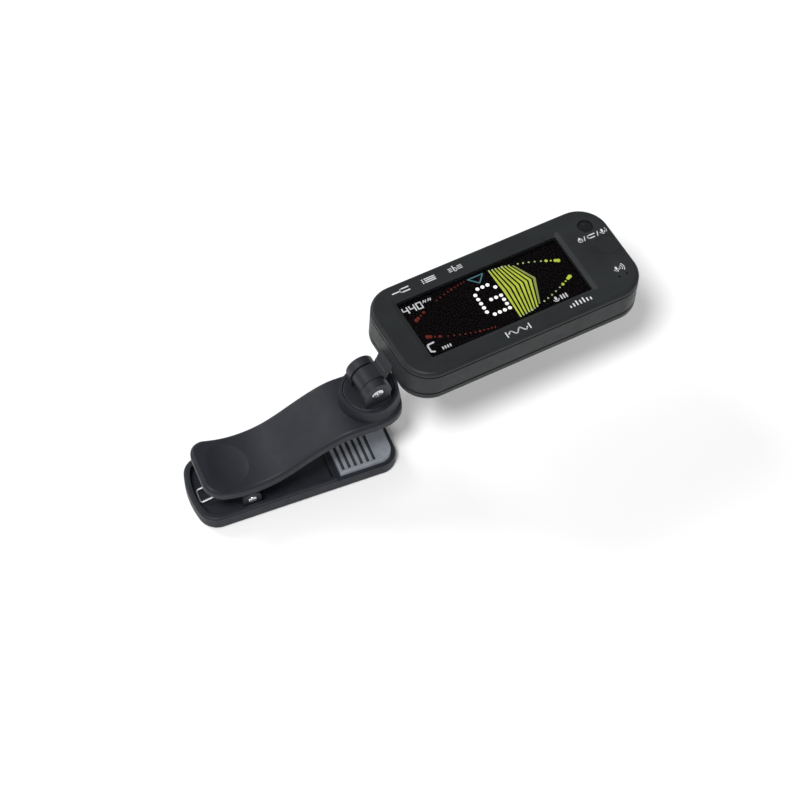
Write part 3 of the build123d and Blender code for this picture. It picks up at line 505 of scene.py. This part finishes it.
# Seven-segment figures: each segment's ends in figure widths and heights.
SEGMENTS = {
    "a": ((0, 1), (1, 1)), "b": ((1, 1), (1, 0.5)), "c": ((1, 0.5), (1, 0)), "d": ((0, 0), (1, 0)),
    "e": ((0, 0.5), (0, 0)), "f": ((0, 1), (0, 0.5)), "g": ((0, 0.5), (1, 0.5)),
}
FIGURES = {"4": "fgbc", "0": "abcdef"}
FIGURE_WIDTH, FIGURE_HEIGHT = 1.35, 2.0
FIGURE_PITCH = 2.1
FIGURE_LINE = 0.36


def seven(bm, figure, x, y):
    """One seven-segment figure with its lower left corner at x, y."""
    for segment in FIGURES[figure]:
        ends = [(x + FIGURE_WIDTH * u, y + FIGURE_HEIGHT * v) for u, v in SEGMENTS[segment]]
        glow_line(bm, ends, FIGURE_LINE)


def reference(bm):
    """The reference pitch as plain figures, with two little waves after them."""
    x, y = at(0.020, 0.182)
    for i, figure in enumerate("440"):
        seven(bm, figure, x + FIGURE_PITCH * i, y)
    for k in range(2):
        wx, wy = at(0.156 + 0.030 * k, 0.10)
        points = [(wx - 0.5, wy - 0.3), (wx - 0.2, wy + 0.35), (wx + 0.2, wy - 0.35), (wx + 0.5, wy + 0.3)]
        glow_line(bm, points, 0.26)


def corner_mark(bm):
    """An open bracket in the near left corner, with a short meter beside it."""
    x, y = at(0.025, 0.875)
    bracket = [(x + 2.0, y + 2.5), (x + 0.3, y + 2.4), (x, y + 2.0), (x, y + 0.1), (x + 0.9, y - 0.3)]
    glow_line(bm, bracket, 0.5)
    for k in range(4):
        tick = x + 3.4 + 0.75 * k
        glow_line(bm, [(tick, y - 0.6), (tick, y)], 0.4)


def input_mark(bm):
    """A microphone outline and a short meter in the near right of the screen."""
    x, y = at(0.800, 0.905)
    glow_line(bm, [(x, y + 0.35), (x, y + 1.0)], 0.62)
    glow_line(bm, arc(x, y + 0.5, 0.8, 190, 350, 8), 0.24)
    for k in range(3):
        tick = x + 1.6 + 0.8 * k
        glow_line(bm, [(tick, y - 0.1), (tick, y + 1.0)], 0.42)


SCREEN_PIECES = (
    ("display_note", note_name, LIT_WHITE),
    ("display_bars", full_bars, LIT_YELLOW),
    ("display_last_bar", half_lit_bar, LIT_DIM),
    ("display_dots_right", right_dots, LIT_LIME),
    ("display_marks_right", right_marks, LIT_YELLOW),
    ("display_dots_left", left_dots, LIT_RED),
    ("display_marks_left", left_marks, LIT_RED),
    ("display_pointer", pointer, LIT_CYAN),
    ("display_reference", reference, LIT_SOFT),
    ("display_corner", corner_mark, LIT_SOFT),
    ("display_input", input_mark, LIT_SOFT),
)
for name, draw, look in SCREEN_PIECES:
    riding_piece(name, draw, "head", look)

# ---------------------------------------------------------------- printed marks on the bezel


def line(bm, points, width):
    stroke(bm, points, width, INK_LOW, INK_HIGH)


FAR_PRINT_Y = BEZEL_HIGH.y / MM - 3.1
BOLD, FIRM, PLAIN, FINE = 0.36, 0.34, 0.26, 0.24


def fork_sign(bm, x, y):
    """A tuning fork lying on its side."""
    line(bm, [(x - 2.6, y), (x - 0.4, y)], BOLD)
    bend = arc(x + 0.2, y, 0.55, 90, 270, 8)
    line(bm, [(x + 2.4, y + 0.55), (x + 0.2, y + 0.55)] + bend + [(x + 2.4, y - 0.55)], BOLD)


def list_sign(bm, x, y):
    """Three rows, each with a point before it."""
    for k in (-1, 0, 1):
        row = y + 0.58 * k
        line(bm, [(x - 1.9, row), (x - 1.75, row)], FIRM)
        line(bm, [(x - 1.1, row), (x + 1.9, row)], 0.32)


def flat_sign(bm, x, y):
    """A flat sign on a short staff."""
    line(bm, [(x - 0.5, y + 1.0), (x - 0.5, y - 0.7)] + arc(x - 0.2, y - 0.25, 0.52, 250, 440, 8), 0.32)
    for k in (-1, 0, 1):
        row = y + 0.5 * k
        line(bm, [(x + 0.7, row), (x + 2.0, row)], 0.2)
        line(bm, [(x - 2.0, row), (x - 1.1, row)], 0.2)


def button_marks(bm):
    """One sign beside each side button."""
    fork_sign(bm, LEFT + 3.1, FAR_PRINT_Y)
    list_sign(bm, LEFT + 11.6, FAR_PRINT_Y)
    flat_sign(bm, LEFT + 19.8, FAR_PRINT_Y)


def microphone_sign(bm, x, y):
    line(bm, [(x, y + 0.1), (x, y + 0.6)], 0.62)
    line(bm, arc(x, y + 0.2, 0.76, 195, 345, 8), FINE)
    line(bm, [(x, y - 0.56), (x, y - 0.8)], FINE)


def slash(bm, x, y):
    line(bm, [(x, y - 0.6), (x + 0.5, y + 0.7)], PLAIN)


def power_mark(bm):
    """Under the power button: a power sign, a clip and a microphone, with strokes between them."""
    x, y = RIGHT + 5.3, 5.3
    line(bm, arc(x, y, 0.60, 125, 415, 14), FIRM)
    line(bm, [(x, y + 0.15), (x, y + 0.85)], FIRM)
    slash(bm, x + 1.1, y)
    clip = [(x + 4.6, y + 0.5), (x + 2.8, y + 0.5)] + arc(x + 2.8, y, 0.5, 90, 270, 6) + [(x + 4.2, y - 0.5)]
    line(bm, clip, FIRM)
    slash(bm, x + 5.2, y)
    microphone_sign(bm, x + 7.0, y)
    line(bm, arc(x + 7.4, y + 0.2, 0.9, -40, 40, 6), FINE)


def microphone_mark(bm):
    """Above the microphone holes: a microphone and sound waves."""
    x, y = RIGHT + 9.0, -7.6
    microphone_sign(bm, x, y)
    for k in range(3):
        line(bm, arc(x + 0.7, y + 0.1, 0.5 + 0.55 * k, -40, 40, 6), PLAIN)


WAVE_STEPS = 24
WAVE_LENGTH, WAVE_RISE = 5.6, 0.65
WAVE_BAR_OUT, WAVE_BAR_HALF = 3.5, 0.8


def wave_mark(bm):
    """A plain sine wave between two bars, under the middle of the screen."""
    x, y = DIAL_X - 0.3, -13.0
    wave = []
    for i in range(WAVE_STEPS + 1):
        t = i / WAVE_STEPS
        wave.append((x + WAVE_LENGTH * (t - 0.5), y + WAVE_RISE * math.sin(4 * math.pi * t)))
    line(bm, wave, 0.38)
    for side in (-1, 1):
        bar_x = x + side * WAVE_BAR_OUT
        line(bm, [(bar_x, y - WAVE_BAR_HALF), (bar_x, y + WAVE_BAR_HALF)], BOLD)


LEVELS = (0.4, 0.8, 1.3, 1.0, 1.4, 0.9, 0.6)
LEVEL_PITCH = 1.05


def level_bars(bm):
    """A row of level bars, near the screen's right corner."""
    x, y = RIGHT - 8.6, -13.0
    for k, height in enumerate(LEVELS):
        line(bm, [(x + LEVEL_PITCH * k, y), (x + LEVEL_PITCH * k, y + height)], 0.42)


PRINTS = (
    ("print_buttons", button_marks),
    ("print_power", power_mark),
    ("print_microphone", microphone_mark),
    ("print_wave", wave_mark),
    ("print_level", level_bars),
)
for name, draw in PRINTS:
    riding_piece(name, draw, "head", INK)


def button_sign(bm):
    """A power sign moulded into the power button's cap."""
    low, high = head_span("power_button")
    x, y = (low.x + high.x) / 2 / MM, (low.y + high.y) / 2 / MM
    bottom, top = high.z - 0.05 * MM, high.z + 0.09 * MM
    stroke(bm, arc(x, y, 1.0, 130, 410, 18), 0.3, bottom, top)
    stroke(bm, [(x, y + 0.35), (x, y + 1.25)], 0.3, bottom, top)


riding_piece("power_button_sign", button_sign, "power_key", CASE)

# ---------------------------------------------------------------- spring wire

COIL_R = 1.95 * MM
COIL_TURNS = 2
COIL_PITCH = 0.92 * MM
COIL_INNER = 2.1 * MM
STEPS_A_TURN = 36
WIRE_R = 0.42 * MM
WIRE_SIDES = 14
FOOT_CORNER = 0.75 * MM
HAND_BACK = 8.5 * MM
LEG_STEPS = 8


def touch_angle(point, side):
    """Angle about the pin where a straight wire from a point meets the coil, below (-1) or above (1) it."""
    across = PIN - point
    reach = math.hypot(across.x, across.z)
    return math.atan2(across.z, across.x) + side * (math.asin(COIL_R / reach) + math.pi / 2)


def spring_half():
    """Points along half the wire: crossbar, lower leg, coil and upper leg."""
    low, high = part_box("torsion_spring")
    foot = Vector((low.x + WIRE_R, COIL_INNER, low.z + WIRE_R))
    hand = Vector((PIN.x - HAND_BACK, 0, high.z - WIRE_R))
    start = touch_angle(foot, -1)
    stop = touch_angle(hand, 1) + 2 * math.pi * COIL_TURNS
    coil = []
    for i in range(STEPS_A_TURN * COIL_TURNS + 1):
        turned = start + (stop - start) * i / (STEPS_A_TURN * COIL_TURNS)
        drift = COIL_INNER + COIL_PITCH * (turned - start) / (2 * math.pi)
        coil.append(Vector((PIN.x + COIL_R * math.cos(turned), drift, PIN.z + COIL_R * math.sin(turned))))
    hand.y = coil[-1].y
    before = foot - Vector((0, FOOT_CORNER, 0))
    after = foot + (coil[0] - foot).normalized() * FOOT_CORNER
    steps = [i / LEG_STEPS for i in range(LEG_STEPS + 1)]
    corner = [before.lerp(foot, t).lerp(foot.lerp(after, t), t) for t in steps]
    lower_leg = [corner[-1].lerp(coil[0], t) for t in steps[1:-1]]
    upper_leg = [coil[-1].lerp(hand, t) for t in steps[1:]]
    return [Vector((foot.x, 0, foot.z))] + corner + lower_leg + coil + upper_leg


def tube(bm, points, radius, sides):
    """A round wire along a line of points, closed by a flat face at both ends."""
    last = len(points) - 1
    tangents = [(points[min(i + 1, last)] - points[max(i - 1, 0)]).normalized() for i in range(last + 1)]
    normal = tangents[0].orthogonal().normalized()
    angles = [2 * math.pi * k / sides for k in range(sides)]
    rings = []
    for point, tangent in zip(points, tangents):
        normal = (normal - tangent * normal.dot(tangent)).normalized()
        side = tangent.cross(normal)
        ways = [normal * math.cos(a) + side * math.sin(a) for a in angles]
        rings.append([bm.verts.new(point + way * radius) for way in ways])
    for near, far in zip(rings, rings[1:]):
        for k in range(sides):
            following = (k + 1) % sides
            bm.faces.new((near[k], near[following], far[following], far[k])).smooth = True
    bm.faces.new(rings[0][::-1])
    bm.faces.new(rings[-1])


half = spring_half()
mirrored = [Vector((p.x, -p.y, p.z)) for p in reversed(half[1:])]
bm = bmesh.new()
tube(bm, mirrored + half, WIRE_R, WIRE_SIDES)
bmesh.ops.recalc_face_normals(bm, faces=bm.faces)
spring = mesh_object("spring", bm, SPRING)
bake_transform(spring)
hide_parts("torsion_spring")

# ---------------------------------------------------------------- floor, light and camera

FLOOR_GAP = 0.02 * MM
FLOOR_HALF = 3.0


def studio_floor():
    """A wide pale sheet just under the object."""
    mat, tree, shader = new_material("floor_look")
    tone = ramp(tree, noise(tree, 3.0), [(0.3, grey(0.93)), (0.7, grey(0.95))])
    tree.links.new(tone, shader.inputs["Base Color"])
    shader.inputs["Roughness"].default_value = 0.9
    shader.inputs["Specular IOR Level"].default_value = 0.1
    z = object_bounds()[0].z - FLOOR_GAP
    bm = bmesh.new()
    corners = [(-1, -1), (1, -1), (1, 1), (-1, 1)]
    bm.faces.new([bm.verts.new((x * FLOOR_HALF, y * FLOOR_HALF, z)) for x, y in corners])
    return mesh_object("floor", bm, mat)


studio_floor()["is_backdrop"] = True

WORLD_LIGHT = 0.38
LIGHT_DISTANCE = 1.5

world = bpy.data.worlds.new("studio")
world.use_nodes = True
world.node_tree.nodes["Background"].inputs["Color"].default_value = (1, 1, 1, 1)
world.node_tree.nodes["Background"].inputs["Strength"].default_value = WORLD_LIGHT
bpy.context.scene.world = world

AIM = Vector((0.010, 0, 0.020))


def soft_light(name, direction, size, power):
    """A round soft lamp that faces the object; size in metres, power in watts."""
    data = bpy.data.lights.new(name, "AREA")
    data.shape = "DISK"
    data.size = size
    data.energy = power
    obj = bpy.data.objects.new(name, data)
    bpy.context.scene.collection.objects.link(obj)
    way = Vector(direction).normalized()
    obj.location = AIM + way * LIGHT_DISTANCE
    obj.rotation_mode = "QUATERNION"
    obj.rotation_quaternion = (-way).to_track_quat("-Z", "Y")


soft_light("key", (-0.32, -0.30, 0.9), 0.38, 17.0)
soft_light("rim", (-0.50, 0.80, 0.62), 0.6, 7.5)

AZIMUTH = math.radians(-21.57)
ELEVATION = math.radians(56.75)
CAMERA_DISTANCE = 0.758
CAMERA_LEFT = 0.89 * MM
CAMERA_DOWN = 5.21 * MM

level = Vector((math.sin(AZIMUTH), -math.cos(AZIMUTH), 0))
back = level * math.cos(ELEVATION) + Vector((0, 0, math.sin(ELEVATION)))
right = Vector((math.cos(AZIMUTH), math.sin(AZIMUTH), 0))
up = back.cross(right)
camera_data = bpy.data.cameras.new("camera")
camera_data.sensor_width = 36.0
camera_data.lens = 126.0
camera = bpy.data.objects.new("camera", camera_data)
bpy.context.scene.collection.objects.link(camera)
camera.location = AIM + back * CAMERA_DISTANCE - right * CAMERA_LEFT - up * CAMERA_DOWN
camera.rotation_mode = "QUATERNION"
camera.rotation_quaternion = (-back).to_track_quat("-Z", "Y")
camera_data.clip_start, camera_data.clip_end = 0.01, 20.0
bpy.context.scene.camera = camera
bpy.context.scene.view_settings.view_transform = "Standard"
